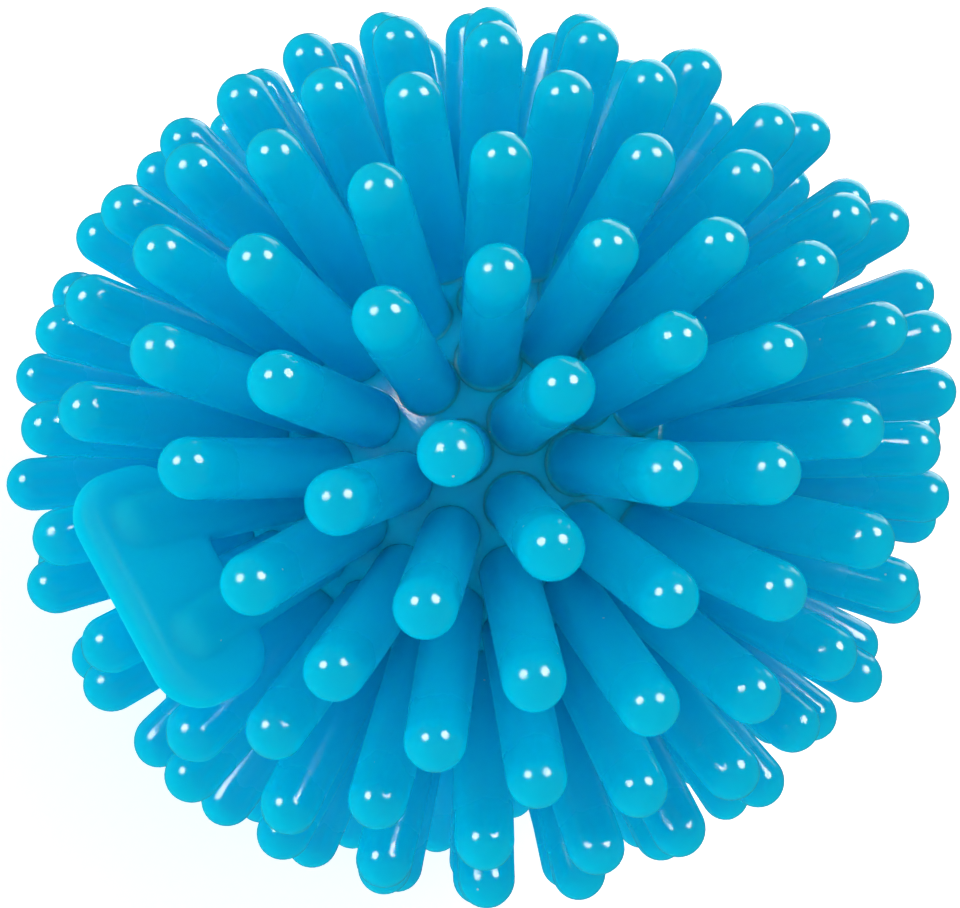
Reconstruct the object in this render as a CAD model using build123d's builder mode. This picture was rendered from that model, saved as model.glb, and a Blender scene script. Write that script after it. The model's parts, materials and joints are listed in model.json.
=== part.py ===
"""Long-fingered massage ball: a hollow soft core with rings of round-ended fingers, a label plate that joins
two of the fingers, and an air plug in a valve neck at the bottom pole.

Millimetres, +Z up along the axis that the finger rings stand round. The origin is on the surface that the
ball stands on, straight under its centre. It stands on the six fingers of the lowest ring.
"""
from build123d import *
from math import asin, cos, degrees, radians, sin
import os

os.makedirs("parts", exist_ok=True)

# ---- driving dimensions ---------------------------------------------------------------------------------
ball_radius = 37.5          # centre of the ball to a fingertip
long_sides = {              # toward these sides the fingers are longer, by up to this share of the radius
    (0.33, 0.75, 0.57): 0.09,
    (-0.54, -0.84, 0.0): 0.03,
}
core_radius = 21.0          # outside of the hollow core
skin = 1.8                  # wall of the core
tip_radius = 2.13           # round end of a finger
root_radius = 2.15          # finger where it meets the core
root_clearance = 0.05       # middle of the flat root to the core, which squashes under it
ring_step = 90 / 7          # degrees between two rings: seven steps from a pole to the equator
pole_at_bottom = 14         # steps from the top pole to the bottom one

# fingers in each ring and the bearing of its first one, in degrees anticlockwise from +X seen from above
upper_rings = {
    2: (11, 9.0),
    3: (15, 1.6),
    4: (20, 10.9),
    5: (25, 5.4),
    6: (25, 5.5),
}
crown_fingers = 6           # ring 1 at the top, whose fingers are nodes of their own
crown_bearing = 50.5
equator_fingers = 26
equator_bearing = 10.3
lower_rings = {
    6: (25, 4.0),
    5: (25, 11.8),
    4: (20, 5.0),
    3: (15, 6.0),
    2: (11, 10.0),
    1: (6, 20.0),
}

# label plate, which joins two neighbouring fingers of upper ring 6
tab_ring = 6
tab_fingers = (17, 18)      # which fingers of the ring
tab_inner = 29.7            # centre of the ball to the plate's inner edge
tab_outer = 38.8            # centre of the ball to the plate's outer edge
tab_first_side = 8.5        # middle between the fingers to the plate's end beside the first finger
tab_second_side = 9.3       # and to its end beside the second finger
tab_thickness = 2.7
tab_drop = 0.3              # middle of the plate below the fingers' axes
tab_corner = 3.3
tab_edge = 0.8

# valve at the bottom pole
neck_radius = 2.5           # hole in the skin, and the outside of the neck in it
neck_flange = 4.0           # radius of the collar inside the skin
neck_flange_top = -17.6     # heights from here on are from the centre of the ball
neck_bottom = -20.7
neck_top = -15.2
neck_bore = 1.93
plug_shank = 1.90
plug_head = 2.30
head_bottom = -22.3
head_top = -21.05
plug_top = -15.7
needle_bore = 1.05
needle_depth = 5.0

centre_height = (ball_radius - tip_radius) * cos(radians(ring_step)) + tip_radius
centre = Pos(0, 0, centre_height)


# ---- fingers --------------------------------------------------------------------------------------------
def finger(reach):
    """One finger on the Z axis: a shaft with a round end, this far from the centre of the ball."""
    with BuildPart() as shape:
        with BuildSketch(Plane.XZ):
            with BuildLine():
                tip_centre = reach - tip_radius
                Polyline(
                    (0, reach),
                    (0, core_radius + root_clearance),
                    (root_radius, core_radius + root_clearance),
                    (tip_radius, tip_centre),
                )
                RadiusArc((tip_radius, tip_centre), (0, reach), -tip_radius)
            make_face()
        revolve(axis=Axis.Z)
    return shape.part


def stance(step, bearing):
    """Where a finger stands: turned about the ball's centre by steps from the top pole and a bearing."""
    return centre * Rot(0, 0, bearing) * Rot(0, step * ring_step, 0)


def reach_at(step, bearing):
    """Centre of the ball to the tip of the finger that stands there."""
    tilt, turn = radians(step * ring_step), radians(bearing)
    way = Vector(sin(tilt) * cos(turn), sin(tilt) * sin(turn), cos(tilt))
    share = sum(most * max(0, way.dot(Vector(*side))) ** 4 for side, most in long_sides.items())
    return ball_radius * (1 + share)


def ring(name, step, count, first, left_out=()):
    """One ring of fingers, each a solid of its own, in one sub-part."""
    bearings = [first + 360 / count * i for i in range(count) if i not in left_out]
    with BuildPart() as fingers:
        add([stance(step, turn) * finger(reach_at(step, turn)) for turn in bearings])
    fingers.part.label = name
    export_step(fingers.part, f"parts/{name}.step")
    return fingers.part


pieces = [ring("pole_finger", 0, 1, 0)]
for number in range(crown_fingers):
    pieces.append(ring(f"crown_finger_{number + 1}", 1, 1, crown_bearing + 360 / crown_fingers * number))
for number, (count, first) in upper_rings.items():
    joined = tab_fingers if number == tab_ring else ()
    pieces.append(ring(f"finger_ring_{number}_upper", number, count, first, joined))
pieces.append(ring("finger_ring_7_equator", 7, equator_fingers, equator_bearing))
for number, (count, first) in lower_rings.items():
    pieces.append(ring(f"finger_ring_{number}_lower", pole_at_bottom - number, count, first))


# ---- label plate with its two fingers -------------------------------------------------------------------
tab_count, tab_first = upper_rings[tab_ring]
spread = 360 / tab_count
first_finger = stance(tab_ring, tab_first + spread * tab_fingers[0])
second_finger = stance(tab_ring, tab_first + spread * tab_fingers[1])
middle_bearing = tab_first + spread * (tab_fingers[0] + tab_fingers[1]) / 2
half_angle = asin(sin(radians(tab_ring * ring_step)) * sin(radians(spread / 2)))
middle_tilt = degrees(asin(cos(radians(tab_ring * ring_step)) / cos(half_angle)))

# the plate's own frame: X from the second finger to the first one, Y outward, Z toward the upper pole
outward = Rot(0, 0, middle_bearing) * Rot(0, -middle_tilt, 0)
plate_plane = Plane(centre * outward * Rot(0, 0, -90)).offset(-tab_drop)

with BuildPart() as label_tab:
    with BuildSketch(plate_plane.offset(-tab_thickness / 2)):
        with Locations(((tab_first_side - tab_second_side) / 2, (tab_inner + tab_outer) / 2)):
            RectangleRounded(tab_first_side + tab_second_side, tab_outer - tab_inner, tab_corner)
    extrude(amount=tab_thickness)
    fillet(
        label_tab.edges().filter_by(lambda e: abs(e.tangent_at(0.5).dot(plate_plane.z_dir)) < 0.5),
        tab_edge,
    )
    with Locations(first_finger, second_finger):
        add(finger(ball_radius))
label_tab.part.label = "label_tab"
export_step(label_tab.part, "parts/label_tab.step")
pieces.append(label_tab.part)


# ---- hollow core, valve neck and air plug ---------------------------------------------------------------
with BuildPart() as core_skin:
    with Locations(centre):
        Sphere(core_radius)
        Sphere(core_radius - skin, mode=Mode.SUBTRACT)
    with Locations(centre * Pos(0, 0, -core_radius)):
        Cylinder(neck_radius, 4 * skin, mode=Mode.SUBTRACT)
core_skin.part.label = "core_skin"
export_step(core_skin.part, "parts/core_skin.step")
pieces.append(core_skin.part)

inside = core_radius - skin
with BuildPart() as valve_neck:
    with BuildSketch(Plane(centre).rotated((90, 0, 0))):
        with BuildLine():
            shoulder = -((inside**2 - neck_radius**2) ** 0.5)
            rim = -((inside**2 - neck_flange**2) ** 0.5)
            Line((neck_bore, neck_bottom), (neck_radius, neck_bottom))
            Line((neck_radius, neck_bottom), (neck_radius, shoulder))
            RadiusArc((neck_radius, shoulder), (neck_flange, rim), -inside)
            Polyline(
                (neck_flange, rim),
                (neck_flange, neck_flange_top),
                (neck_radius + 0.4, neck_flange_top),
                (neck_radius, neck_flange_top + 0.4),
                (neck_radius, neck_top),
                (neck_bore, neck_top),
                (neck_bore, neck_bottom),
            )
        make_face()
    revolve(axis=Axis.Z)
valve_neck.part.label = "valve_neck"
export_step(valve_neck.part, "parts/valve_neck.step")
pieces.append(valve_neck.part)

with BuildPart() as air_plug:
    with BuildSketch(Plane(centre).rotated((90, 0, 0))):
        with BuildLine():
            Polyline(
                (0, plug_top),
                (0, head_bottom + needle_depth),
                (needle_bore, head_bottom + needle_depth),
                (needle_bore, head_bottom),
                (plug_head - 0.4, head_bottom),
                (plug_head, head_bottom + 0.4),
                (plug_head, head_top),
                (plug_shank, head_top),
                (plug_shank, plug_top - 0.5),
                (plug_shank - 0.5, plug_top),
                (0, plug_top),
            )
        make_face()
    revolve(axis=Axis.Z)
air_plug.part.label = "air_plug"
export_step(air_plug.part, "parts/air_plug.step")
pieces.append(air_plug.part)

ball = Compound(label="massage_ball", children=pieces)
box = ball.bounding_box()
print("X", round(box.min.X, 2), round(box.max.X, 2), "Y", round(box.min.Y, 2), round(box.max.Y, 2))
print("Z", round(box.min.Z, 2), round(box.max.Z, 2), "sub-parts", len(pieces))
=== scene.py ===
"""Long-fingered massage ball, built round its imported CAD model. Metres, in the CAD model's own frame."""
import json
import math
import random

import bmesh
import bpy
from mathutils import Matrix, Vector


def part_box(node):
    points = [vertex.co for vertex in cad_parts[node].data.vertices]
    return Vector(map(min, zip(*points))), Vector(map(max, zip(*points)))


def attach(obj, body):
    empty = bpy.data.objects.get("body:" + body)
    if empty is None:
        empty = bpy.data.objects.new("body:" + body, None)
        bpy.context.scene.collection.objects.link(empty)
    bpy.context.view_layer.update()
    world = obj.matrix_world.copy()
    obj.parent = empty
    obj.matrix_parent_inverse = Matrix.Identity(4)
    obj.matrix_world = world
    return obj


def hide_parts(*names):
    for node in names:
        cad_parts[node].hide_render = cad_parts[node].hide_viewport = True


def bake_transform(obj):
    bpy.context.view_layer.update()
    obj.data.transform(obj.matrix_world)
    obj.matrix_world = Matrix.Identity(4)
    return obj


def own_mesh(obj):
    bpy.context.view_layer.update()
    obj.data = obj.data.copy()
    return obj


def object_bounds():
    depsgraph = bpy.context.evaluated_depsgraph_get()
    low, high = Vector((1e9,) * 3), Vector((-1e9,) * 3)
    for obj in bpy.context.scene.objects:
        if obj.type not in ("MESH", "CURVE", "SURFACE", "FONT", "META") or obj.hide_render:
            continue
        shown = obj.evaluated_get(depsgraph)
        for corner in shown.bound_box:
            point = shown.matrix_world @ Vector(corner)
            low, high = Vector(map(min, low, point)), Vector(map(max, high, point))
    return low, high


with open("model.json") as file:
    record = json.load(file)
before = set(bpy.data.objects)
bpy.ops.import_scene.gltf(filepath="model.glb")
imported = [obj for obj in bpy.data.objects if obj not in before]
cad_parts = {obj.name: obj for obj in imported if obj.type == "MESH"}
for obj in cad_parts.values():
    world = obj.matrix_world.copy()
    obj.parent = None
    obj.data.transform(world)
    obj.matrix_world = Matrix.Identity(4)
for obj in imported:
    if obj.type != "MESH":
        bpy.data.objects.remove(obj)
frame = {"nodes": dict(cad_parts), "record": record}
cad_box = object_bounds()
record = frame["record"]
nodes = frame["nodes"]
MM = 0.001

# ---- facts of the frame ---------------------------------------------------------------------------------
body_of_node = {n: b for b, ns in record["behaviour"]["bodies"].items() for n in ns}
core_low, core_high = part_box("core_skin")
CORE_R = (core_high.x - core_low.x) / 2
CENTRE = Vector((0, 0, core_high.z - CORE_R))
STEPS_TO_EQUATOR = 7
RING_STEP = math.radians(90 / STEPS_TO_EQUATOR)
pole_low, pole_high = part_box("pole_finger")
ROOT_R = (pole_high.x - pole_low.x) / 2
FINGER_TAPER = 0.02 * MM
TIP_R = ROOT_R - FINGER_TAPER
BALL_R = (CENTRE.z - TIP_R) / math.cos(RING_STEP) + TIP_R

random.seed(7)

# ---- node materials -------------------------------------------------------------------------------------
# noise scales are per metre
CLOUD_SCALE = 90.0
SPECK_SCALE = 300.0
SPECK_RIM = (0.022, 0.03)               # where a speck's edge begins and ends, as a share of its cell
SPECK_COLOUR = (0.45, 0.75, 0.85, 1)
GLOSS_SCALE = 420.0
ROUGHNESS_SPREAD = (-0.03, 0.06)
RIPPLE_SCALE, RIPPLE_HEIGHT = 700.0, 0.06 * MM
GRAIN_SCALE, GRAIN_HEIGHT = 3200.0, 0.016 * MM
SCRATCH_SCALE, SCRATCH_HEIGHT = (5200.0, 5200.0, 260.0), 0.04 * MM
SCRATCH_SLANT = (0.5, 0.35, 0.3)
LIGHT_DEPTHS = (0.3, 0.85, 1.0)         # how far red, green and blue light go into the vinyl
POLISH_FROM, POLISH_TO = BALL_R - 6 * MM, BALL_R - 2.5 * MM
LIGHT_BLUE, DEEP_BLUE = (0.0, 0.68, 0.965), (0.0, 0.65, 0.945)


def new_material(name):
    mat = bpy.data.materials.new(name)
    mat.use_nodes = True
    tree = mat.node_tree
    tree.nodes.clear()
    out = tree.nodes.new("ShaderNodeOutputMaterial")
    bsdf = tree.nodes.new("ShaderNodeBsdfPrincipled")
    tree.links.new(bsdf.outputs["BSDF"], out.inputs["Surface"])
    return mat, tree, bsdf


def noise(tree, scale, detail, where):
    tex = tree.nodes.new("ShaderNodeTexNoise")
    tex.inputs["Scale"].default_value = scale
    tex.inputs["Detail"].default_value = detail
    tree.links.new(where, tex.inputs["Vector"])
    return tex.outputs["Fac"]


def spread(tree, value, low, high, start=0.3, stop=0.7):
    """Maps a noise's usual range to low..high."""
    node = tree.nodes.new("ShaderNodeMapRange")
    node.interpolation_type = "SMOOTHSTEP"
    node.inputs["From Min"].default_value = start
    node.inputs["From Max"].default_value = stop
    node.inputs["To Min"].default_value = low
    node.inputs["To Max"].default_value = high
    tree.links.new(value, node.inputs["Value"])
    return node.outputs["Result"]


def bump(tree, height, strength, distance, under=None):
    node = tree.nodes.new("ShaderNodeBump")
    node.inputs["Strength"].default_value = strength
    node.inputs["Distance"].default_value = distance
    tree.links.new(height, node.inputs["Height"])
    if under:
        tree.links.new(under, node.inputs["Normal"])
    return node.outputs["Normal"]


def soft_vinyl(
    name,
    light,
    deep,
    roughness=0.12,
    shaft_roughness=None,
    specks=True,
    scratched=False,
    gloss_level=0.5,
    depth_scale=0.0011,
):
    """Soft translucent vinyl: cloudy colour, uneven gloss, moulding ripples and grain.

    It can have dust specks and fine scratches. With a shaft roughness, the fingertips are polished by
    handling and the shafts below them are duller.
    """
    mat, tree, bsdf = new_material(name)
    new, link = tree.nodes.new, tree.links.new
    where = new("ShaderNodeTexCoord").outputs["Object"]
    ramp = new("ShaderNodeValToRGB")
    ramp.color_ramp.elements[0].position = 0.3
    ramp.color_ramp.elements[0].color = (*deep, 1)
    ramp.color_ramp.elements[1].position = 0.7
    ramp.color_ramp.elements[1].color = (*light, 1)
    link(noise(tree, CLOUD_SCALE, 3.0, where), ramp.inputs["Fac"])
    colour = ramp.outputs["Color"]
    if specks:
        cells = new("ShaderNodeTexVoronoi")
        cells.inputs["Scale"].default_value = SPECK_SCALE
        link(where, cells.inputs["Vector"])
        dot = spread(tree, cells.outputs["Distance"], 1.0, 0.0, *SPECK_RIM)
        mix = new("ShaderNodeMix")
        mix.data_type = "RGBA"
        link(dot, mix.inputs["Factor"])
        link(colour, mix.inputs["A"])
        mix.inputs["B"].default_value = SPECK_COLOUR
        colour = mix.outputs["Result"]
    link(colour, bsdf.inputs["Base Color"])
    gloss = noise(tree, GLOSS_SCALE, 4.0, where)
    smoother, rougher = ROUGHNESS_SPREAD
    if shaft_roughness:
        depth = new("ShaderNodeVectorMath")
        depth.operation = "DISTANCE"
        depth.inputs[1].default_value = CENTRE
        link(where, depth.inputs[0])
        base = spread(tree, depth.outputs["Value"], shaft_roughness, roughness, POLISH_FROM, POLISH_TO)
        uneven = new("ShaderNodeMath")
        uneven.operation = "ADD"
        link(base, uneven.inputs[0])
        link(spread(tree, gloss, smoother, rougher), uneven.inputs[1])
        link(uneven.outputs["Value"], bsdf.inputs["Roughness"])
    else:
        link(spread(tree, gloss, roughness + smoother, roughness + rougher), bsdf.inputs["Roughness"])
    normal = bump(tree, noise(tree, RIPPLE_SCALE, 2.0, where), 0.2, RIPPLE_HEIGHT)
    normal = bump(tree, noise(tree, GRAIN_SCALE, 2.0, where), 0.3, GRAIN_HEIGHT, normal)
    if scratched:
        stretch = new("ShaderNodeMapping")
        stretch.inputs["Rotation"].default_value = SCRATCH_SLANT
        stretch.inputs["Scale"].default_value = SCRATCH_SCALE
        link(where, stretch.inputs["Vector"])
        normal = bump(tree, noise(tree, 1.0, 3.0, stretch.outputs["Vector"]), 0.4, SCRATCH_HEIGHT, normal)
    link(normal, bsdf.inputs["Normal"])
    bsdf.inputs["IOR"].default_value = 1.5
    bsdf.inputs["Specular IOR Level"].default_value = gloss_level
    bsdf.inputs["Subsurface Weight"].default_value = 1.0
    bsdf.inputs["Subsurface Radius"].default_value = LIGHT_DEPTHS
    bsdf.inputs["Subsurface Scale"].default_value = depth_scale
    return mat


vinyl = soft_vinyl("blue_vinyl", LIGHT_BLUE, DEEP_BLUE, shaft_roughness=0.36)
tab_vinyl = soft_vinyl("tab_vinyl", LIGHT_BLUE, DEEP_BLUE, roughness=0.42, gloss_level=0.15)
core_vinyl = soft_vinyl(
    "core_vinyl", (0.0, 0.68, 0.98), (0.0, 0.64, 0.96), roughness=0.08, scratched=True, depth_scale=0.0007
)
plug_vinyl = soft_vinyl("plug_vinyl", (0.0, 0.44, 0.72), (0.0, 0.40, 0.68), roughness=0.3, specks=False)


def mesh_object(name, verts, faces, mat):
    mesh = bpy.data.meshes.new(name)
    mesh.from_pydata([tuple(v) for v in verts], [], faces)
    mesh.validate()
    mesh.shade_smooth()
    mesh.materials.append(mat)
    obj = bpy.data.objects.new(name, mesh)
    bpy.context.scene.collection.objects.link(obj)
    return obj


# ---- fingers --------------------------------------------------------------------------------------------
AROUND = 28
SHAFT_STEPS = 15
TIP_STEPS = 9
FILLET_STEPS = 6
ROOT_DEPTH = 0.4 * MM
ROOT_TAPER = 0.12 * MM
SEAM_HEIGHT = 0.09 * MM
SEAM_HALF_WIDTH = 0.07      # radians round the finger
SEAM_NODE = "finger_ring_7_equator"
NEARLY_UPRIGHT = 0.98

# the roots of rings 3 to 7 nearly meet when the ball is squeezed, so they have a small fillet or none
FILLET = 0.35 * MM
SMALLER_FILLETS = {3: 0.2 * MM, 4: 0.0, 5: 0.0, 6: 0.0, 7: 0.0}

# how the moulded fingers differ from the CAD model's, as shares of its lengths and radii
STANDING_NODE = "finger_ring_1_lower"
STANDING_REACH = 0.995
SHORTEST, LONGEST = 0.978, 0.999
THINNEST, THICKEST = 0.975, 1.02
MOST_LEAN, MOST_BEND = 0.025, 0.035


def finger_tips(obj):
    """The tip of each separate finger of a CAD node: its point furthest from the ball's centre."""
    bm = bmesh.new()
    bm.from_mesh(obj.data)
    bmesh.ops.remove_doubles(bm, verts=bm.verts, dist=2e-6)
    seen, tips = set(), []
    for start in bm.verts:
        if start in seen:
            continue
        stack, tip = [start], start.co.copy()
        seen.add(start)
        while stack:
            v = stack.pop()
            if (v.co - CENTRE).length > (tip - CENTRE).length:
                tip = v.co.copy()
            for e in v.link_edges:
                w = e.other_vert(v)
                if w not in seen:
                    seen.add(w)
                    stack.append(w)
        tips.append(tip)
    bm.free()
    return tips


def finger_profile(tip_r, reach, fillet):
    """(distance from the ball's centre, radius) from inside the core to the tip.

    A fillet of zero leaves a sharp corner at the core.
    """
    low = math.sqrt(CORE_R ** 2 - (ROOT_R + fillet) ** 2)
    line = [(low - ROOT_DEPTH, ROOT_R + fillet - ROOT_TAPER)]
    for i in range(FILLET_STEPS + 1 if fillet else 1):
        a = math.pi / 2 * i / FILLET_STEPS
        line.append((low + fillet * (1 - math.cos(a)), ROOT_R + fillet * (1 - math.sin(a))))
    start, end = line[-1][0], reach - tip_r
    for i in range(1, SHAFT_STEPS + 1):
        t = i / SHAFT_STEPS
        line.append((start + (end - start) * t, ROOT_R + (tip_r - ROOT_R) * t))
    for i in range(1, TIP_STEPS + 1):
        a = math.pi / 2 * i / TIP_STEPS
        line.append((end + tip_r * math.sin(a), tip_r * math.cos(a)))
    return line


def finger(verts, faces, axis, tip_r, reach, lean=0.0, bend=0.0, turn=0.0, seam=False, fillet=0.0):
    """Adds one finger along axis: lean and bend move its tip sideways by that share of its length.

    Turn is the angle round the finger that it goes towards. A seam is a thin ridge along both sides of the
    finger, where the two halves of the mould meet.
    """
    axis = axis.normalized()
    side = Vector((1, 0, 0))
    if abs(axis.z) < NEARLY_UPRIGHT:
        side = axis.cross(Vector((0, 0, 1))).normalized()
    other = axis.cross(side)
    away = side * math.cos(turn) + other * math.sin(turn)
    seams = (0.0, math.pi) if seam else ()
    even = [2 * math.pi * k / AROUND for k in range(AROUND)]
    angles = [(a, SEAM_HEIGHT if a in seams else 0.0) for a in even]
    angles += [((a + d * SEAM_HALF_WIDTH) % (2 * math.pi), 0.0) for a in seams for d in (-1, 1)]
    angles.sort()
    profile = finger_profile(tip_r, reach, fillet)
    length = reach - CORE_R
    around = len(angles)
    ring_starts = []
    for d, r in profile[:-1]:
        t = max(0.0, (d - CORE_R) / length)
        spot = CENTRE + axis * d + away * (length * (lean * t + bend * t * t))
        ring_starts.append(len(verts))
        for a, ridge in angles:
            spoke = side * math.cos(a) + other * math.sin(a)
            verts.append(spot + spoke * (r + ridge * min(1.0, r / tip_r)))
    verts.append(CENTRE + axis * reach + away * (length * (lean + bend)))
    top = len(verts) - 1
    verts.append(CENTRE + axis * profile[0][0])
    low = len(verts) - 1
    for k in range(around):
        n = (k + 1) % around
        for a, b in zip(ring_starts, ring_starts[1:]):
            faces.append((a + k, a + n, b + n, b + k))
        faces.append((ring_starts[-1] + k, ring_starts[-1] + n, top))
        faces.append((ring_starts[0] + n, ring_starts[0] + k, low))


def bend_at_root(piece):
    """Bakes the piece's placement into its mesh."""
    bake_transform(piece)


def fillet_of(node):
    for ring, smaller in SMALLER_FILLETS.items():
        if node.startswith(f"finger_ring_{ring}"):
            return smaller
    return FILLET


finger_nodes = [n for n in nodes if n.startswith(("finger_ring", "crown_finger", "pole_finger"))]
for name in sorted(finger_nodes):
    verts, faces = [], []
    for tip in finger_tips(nodes[name]):
        share = random.uniform(SHORTEST, LONGEST)
        if name == STANDING_NODE:
            share = STANDING_REACH
        finger(
            verts,
            faces,
            tip - CENTRE,
            tip_r=TIP_R * random.uniform(THINNEST, THICKEST),
            reach=(tip - CENTRE).length * share,
            lean=random.uniform(-MOST_LEAN, MOST_LEAN),
            bend=random.uniform(0.0, MOST_BEND),
            turn=random.uniform(0, 2 * math.pi),
            seam=name == SEAM_NODE,
            fillet=fillet_of(name),
        )
    piece = mesh_object("soft_" + name, verts, faces, vinyl)
    if name.startswith("finger_ring"):
        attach(piece, body_of_node[name])
    else:
        bend_at_root(piece)
    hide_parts(name)

# ---- label plate and the two fingers that it joins ------------------------------------------------------
TAB_RING, TAB_COUNT, TAB_FIRST = 6, 25, 5.5
TAB_FINGERS = (17, 18)
TAB_INNER, TAB_OUTER = 29.7 * MM, 38.8 * MM
TAB_FIRST_SIDE, TAB_SECOND_SIDE = 8.5 * MM, 9.3 * MM
TAB_CORNER, TAB_EDGE, TAB_THICK, TAB_DROP = 3.3 * MM, 1.2 * MM, 2.6 * MM, 0.3 * MM
TAB_BOW = 0.45 * MM
TAB_FINGER_REACH = 0.995 * BALL_R
EDGE_STEPS = 12
CORNER_STEPS = 8


def way_to(ring, bearing):
    tilt, turn = ring * RING_STEP, math.radians(bearing)
    return Vector((math.sin(tilt) * math.cos(turn), math.sin(tilt) * math.sin(turn), math.cos(tilt)))


first_way, second_way = (way_to(TAB_RING, TAB_FIRST + 360 / TAB_COUNT * i) for i in TAB_FINGERS)
tab_out = (first_way + second_way).normalized()
tab_side = (first_way - second_way).normalized()
tab_up = tab_side.cross(tab_out)


def plate(verts, faces):
    """A flat plate with round corners and fully rounded edges, whose outer edge is slightly bowed."""
    edge = [math.pi * i / EDGE_STEPS for i in range(EDGE_STEPS + 1)]
    wide, high = (TAB_FIRST_SIDE + TAB_SECOND_SIDE) / 2, (TAB_OUTER - TAB_INNER) / 2
    shift = (TAB_FIRST_SIDE - TAB_SECOND_SIDE) / 2
    flat = TAB_THICK / 2 - TAB_EDGE
    rows = []
    for angle in edge:
        lift = -math.cos(angle)
        r = TAB_CORNER - TAB_EDGE * (1 - math.sin(angle))
        z = TAB_EDGE * lift + (flat if lift > 0 else -flat) - TAB_DROP
        rows.append(len(verts))
        for cx, cy, start in ((1, 1, 0), (-1, 1, 90), (-1, -1, 180), (1, -1, 270)):
            for i in range(CORNER_STEPS + 1):
                a = math.radians(start + 90 * i / CORNER_STEPS)
                x = cx * (wide - TAB_CORNER) + r * math.cos(a)
                y = cy * (high - TAB_CORNER) + r * math.sin(a)
                bow = TAB_BOW * (x / wide) ** 2 * (y > 0)
                out = (TAB_INNER + TAB_OUTER) / 2 + y - bow
                verts.append(CENTRE + tab_side * (x + shift) + tab_out * out + tab_up * z)
    around = 4 * (CORNER_STEPS + 1)
    for a, b in zip(rows, rows[1:]):
        for k in range(around):
            n = (k + 1) % around
            faces.append((a + k, a + n, b + n, b + k))
    faces.append(tuple(rows[0] + k for k in reversed(range(around))))
    faces.append(tuple(rows[-1] + k for k in range(around)))


verts, faces = [], []
plate(verts, faces)
for way in (first_way, second_way):
    finger(verts, faces, way, tip_r=TIP_R, reach=TAB_FINGER_REACH)
rough_tab = mesh_object("rough_tab", verts, faces, tab_vinyl)
remesh = rough_tab.modifiers.new("one_skin", "REMESH")
remesh.mode = "VOXEL"
remesh.voxel_size = 0.22 * MM
soften = rough_tab.modifiers.new("soft_blends", "SMOOTH")
soften.factor = 0.5
soften.iterations = 9
graph = bpy.context.evaluated_depsgraph_get()
tab_mesh = bpy.data.meshes.new_from_object(rough_tab.evaluated_get(graph), depsgraph=graph)
bpy.data.objects.remove(rough_tab)
tab_mesh.materials.clear()
tab_mesh.materials.append(tab_vinyl)
tab_mesh.shade_smooth()
soft_tab = bpy.data.objects.new("soft_label_tab", tab_mesh)
bpy.context.scene.collection.objects.link(soft_tab)
bend_at_root(soft_tab)
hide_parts("label_tab")


def lathe(name, profile, mat, steps=48):
    """A closed turned piece about the ball's axis: profile is (radius, height from the ball's centre)."""
    verts, faces = [], []
    n = len(profile)
    for k in range(steps):
        a = 2 * math.pi * k / steps
        for r, z in profile:
            verts.append(CENTRE + Vector((r * math.cos(a), r * math.sin(a), z)))
    for k in range(steps):
        m = (k + 1) % steps
        for i in range(n):
            j = (i + 1) % n
            faces.append((k * n + i, m * n + i, m * n + j, k * n + j))
    obj = mesh_object(name, verts, faces, mat)
    bm = bmesh.new()
    bm.from_mesh(obj.data)
    bmesh.ops.remove_doubles(bm, verts=bm.verts, dist=1e-7)
    bmesh.ops.dissolve_degenerate(bm, edges=bm.edges, dist=1e-8)
    bmesh.ops.recalc_face_normals(bm, faces=bm.faces)
    bm.to_mesh(obj.data)
    bm.free()
    obj.data.shade_smooth()
    return obj


def half_round(radius, start, end, steps):
    """A circle's arc about the ball's centre: start and end are angles from the bottom pole."""
    angles = [start + (end - start) * i / steps for i in range(steps + 1)]
    return [(radius * math.sin(a), -radius * math.cos(a)) for a in angles]


SKIN = 1.8 * MM
HOLE = 2.5 * MM
INSIDE_R = CORE_R - SKIN
outside = half_round(CORE_R, math.asin(HOLE / CORE_R), math.pi, steps=48)
inside = half_round(INSIDE_R, math.pi, math.asin(HOLE / INSIDE_R), steps=32)
core = lathe("soft_core", outside + inside, core_vinyl, steps=96)
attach(core, body_of_node["core_skin"])
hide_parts("core_skin")
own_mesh(core)

# ---- valve neck and air plug ----------------------------------------------------------------------------
# outlines as (radius, height from the ball's centre) in millimetres
NECK = (
    (1.93, -20.55), (1.98, -20.66), (2.08, -20.70), (2.40, -20.70), (2.48, -20.66), (2.50, -20.58),
    (2.50, -19.04), (3.20, -18.93), (3.90, -18.80), (4.00, -18.70), (4.00, -17.80), (3.93, -17.66),
    (3.80, -17.60), (3.00, -17.60), (2.70, -17.50), (2.50, -17.20), (2.50, -15.40), (2.44, -15.26),
    (2.30, -15.20), (2.10, -15.20), (1.98, -15.26), (1.93, -15.40),
)
PLUG = (
    (0.00, -17.30), (1.00, -17.30), (1.05, -17.38), (1.05, -22.10), (1.12, -22.24), (1.25, -22.30),
    (1.75, -22.30), (2.00, -22.24), (2.20, -22.08), (2.30, -21.85), (2.30, -21.20), (2.24, -21.09),
    (2.12, -21.05), (1.90, -21.05), (1.90, -16.10), (1.80, -15.85), (1.50, -15.70), (0.00, -15.70),
)
for name, profile, slot in (("valve_neck", NECK, "ball"), ("air_plug", PLUG, "air_plug")):
    piece = lathe("soft_" + name, [(r * MM, z * MM) for r, z in profile], plug_vinyl, steps=64)
    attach(piece, body_of_node[name])
    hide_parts(name)

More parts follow.
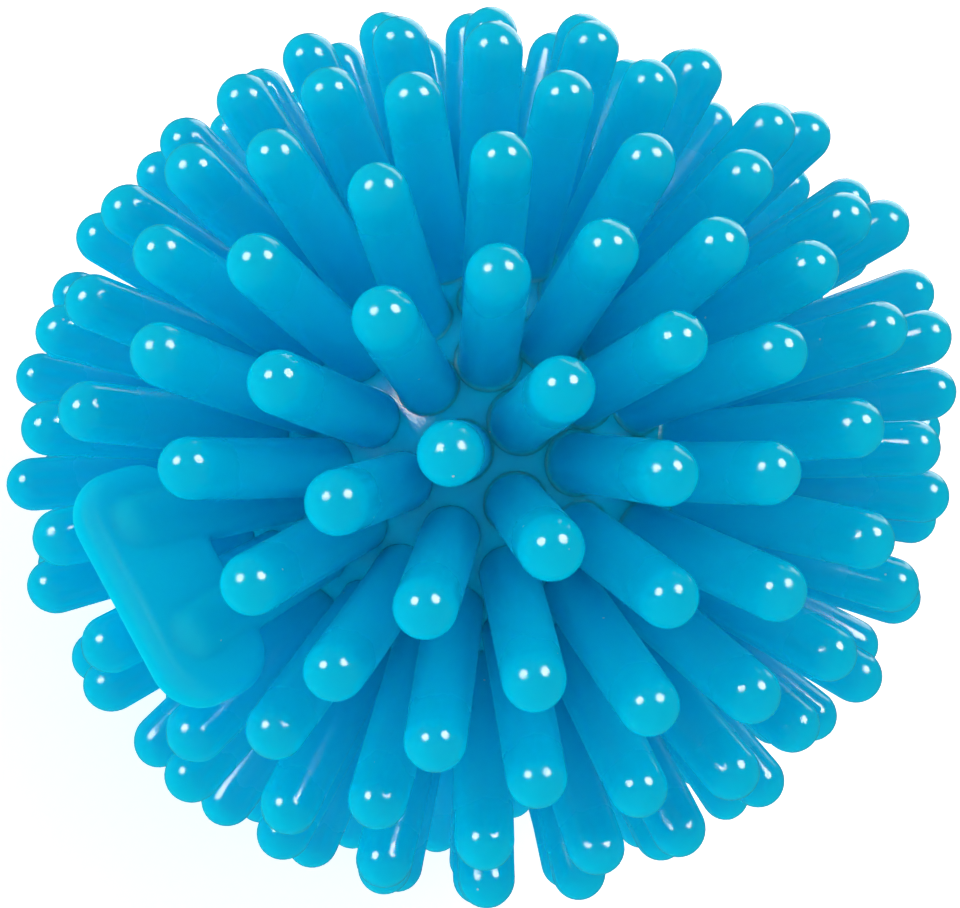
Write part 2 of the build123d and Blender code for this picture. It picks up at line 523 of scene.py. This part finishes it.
# ---- camera, at the photograph's viewing angle ----------------------------------------------------------
ELEVATION = math.radians(53.3)
ROLL = math.radians(49.9)
DISTANCE = 3.46 * BALL_R
back = Vector((0, -math.cos(ELEVATION), math.sin(ELEVATION)))
level_up = Vector((0, math.sin(ELEVATION), math.cos(ELEVATION)))
level_right = Vector((1, 0, 0))
up = level_up * math.cos(ROLL) - level_right * math.sin(ROLL)
right = up.cross(back)
cam_data = bpy.data.cameras.new("camera")
cam = bpy.data.objects.new("camera", cam_data)
bpy.context.scene.collection.objects.link(cam)
bpy.context.scene.camera = cam
turn = Matrix((right, up, back)).transposed().to_4x4()
cam.matrix_world = Matrix.Translation(CENTRE + back * DISTANCE) @ turn
cam_data.sensor_width = 36
cam_data.lens = 57.1
cam_data.shift_x = 0.003
cam_data.shift_y = 0.002
cam_data.clip_start = 0.005
cam_data.clip_end = 10

# ---- light and floor ------------------------------------------------------------------------------------
SOFT_LIGHT = 0.51           # what matt surfaces get from all round
DIM_ROOM = 0.05             # what gloss mirrors beside the bright patches
BACKDROP = 1.0              # what the camera sees behind the floor
world = bpy.data.worlds.new("studio")
bpy.context.scene.world = world
world.use_nodes = True
air = world.node_tree
sky = air.nodes["Background"]
sky.inputs["Color"].default_value = (1.0, 1.0, 1.0, 1)
way_in = air.nodes.new("ShaderNodeTexCoord").outputs["Generated"]


def patch(way, wide, soft, radiance):
    """A round bright patch in this direction: wide is its angular radius and soft its edge, in degrees."""
    dot = air.nodes.new("ShaderNodeVectorMath")
    dot.operation = "DOT_PRODUCT"
    dot.inputs[1].default_value = way.normalized()
    air.links.new(way_in, dot.inputs[0])
    edge = air.nodes.new("ShaderNodeMapRange")
    edge.interpolation_type = "SMOOTHSTEP"
    edge.inputs["From Min"].default_value = math.cos(math.radians(wide + soft))
    edge.inputs["From Max"].default_value = math.cos(math.radians(wide))
    edge.inputs["To Max"].default_value = radiance
    air.links.new(dot.outputs["Value"], edge.inputs["Value"])
    return edge.outputs["Result"]


# what gloss mirrors: two lamps in front and a white panel behind, up on the right
seen = [
    patch(-right * 0.58 + up * 0.38 + back * 0.72, 10, 6, 15.0),
    patch(right * 0.60 + up * 0.50 + back * 0.62, 11, 6, 16.0),
    patch(right * 0.41 + up * 0.70 - back * 0.58, 21, 10, 2.2),
]
gloss_light = None
for value in seen:
    total = air.nodes.new("ShaderNodeMath")
    total.operation = "ADD"
    total.inputs[0].default_value = DIM_ROOM
    if gloss_light:
        air.links.new(gloss_light, total.inputs[0])
    air.links.new(value, total.inputs[1])
    gloss_light = total.outputs["Value"]
ray = air.nodes.new("ShaderNodeLightPath")
strength = air.nodes.new("ShaderNodeMix")
strength.data_type = "FLOAT"
strength.inputs["A"].default_value = SOFT_LIGHT
air.links.new(ray.outputs["Is Glossy Ray"], strength.inputs["Factor"])
air.links.new(gloss_light, strength.inputs["B"])
shown = air.nodes.new("ShaderNodeMix")
shown.data_type = "FLOAT"
shown.inputs["B"].default_value = BACKDROP
air.links.new(ray.outputs["Is Camera Ray"], shown.inputs["Factor"])
air.links.new(strength.outputs["Result"], shown.inputs["A"])
air.links.new(shown.outputs["Result"], sky.inputs["Strength"])


def softbox(name, sideways, lift, distance, size, radiance):
    """A square light seen from the ball at these angles from the camera's line."""
    a, e = math.radians(sideways), math.radians(lift)
    way = right * (math.sin(a) * math.cos(e)) + up * math.sin(e) + back * (math.cos(a) * math.cos(e))
    data = bpy.data.lights.new(name, "AREA")
    data.shape = "SQUARE"
    data.size = size
    data.energy = radiance * math.pi * size * size
    obj = bpy.data.objects.new(name, data)
    bpy.context.scene.collection.objects.link(obj)
    obj.location = CENTRE + way * distance
    obj.rotation_euler = way.to_track_quat("Z", "Y").to_euler()
    obj.visible_glossy = False


softbox("softbox_left", -42, 28, 0.38, 0.16, 1.4)
softbox("softbox_right", 42, 28, 0.38, 0.18, 1.8)
softbox("softbox_front", 0, 6, 0.60, 0.20, 0.7)

floor_mat, floor_tree, floor_bsdf = new_material("pale_floor")
floor_bsdf.inputs["Roughness"].default_value = 0.6
floor_bsdf.inputs["Emission Color"].default_value = (1, 1, 1, 1)
floor_bsdf.inputs["Emission Strength"].default_value = 0.65
grain = floor_tree.nodes.new("ShaderNodeTexNoise")
grain.inputs["Scale"].default_value = 60.0
tint = floor_tree.nodes.new("ShaderNodeValToRGB")
tint.color_ramp.elements[0].color = (0.89, 0.89, 0.89, 1)
tint.color_ramp.elements[1].color = (0.91, 0.91, 0.91, 1)
floor_tree.links.new(grain.outputs["Fac"], tint.inputs["Fac"])
floor_tree.links.new(tint.outputs["Color"], floor_bsdf.inputs["Base Color"])
bpy.ops.mesh.primitive_plane_add(size=6, location=(0, 0, cad_box[0].z))
floor = bpy.context.object
floor.name = "floor"
floor.data.materials.append(floor_mat)
floor.visible_glossy = False

bpy.context.scene.view_settings.view_transform = "Standard"
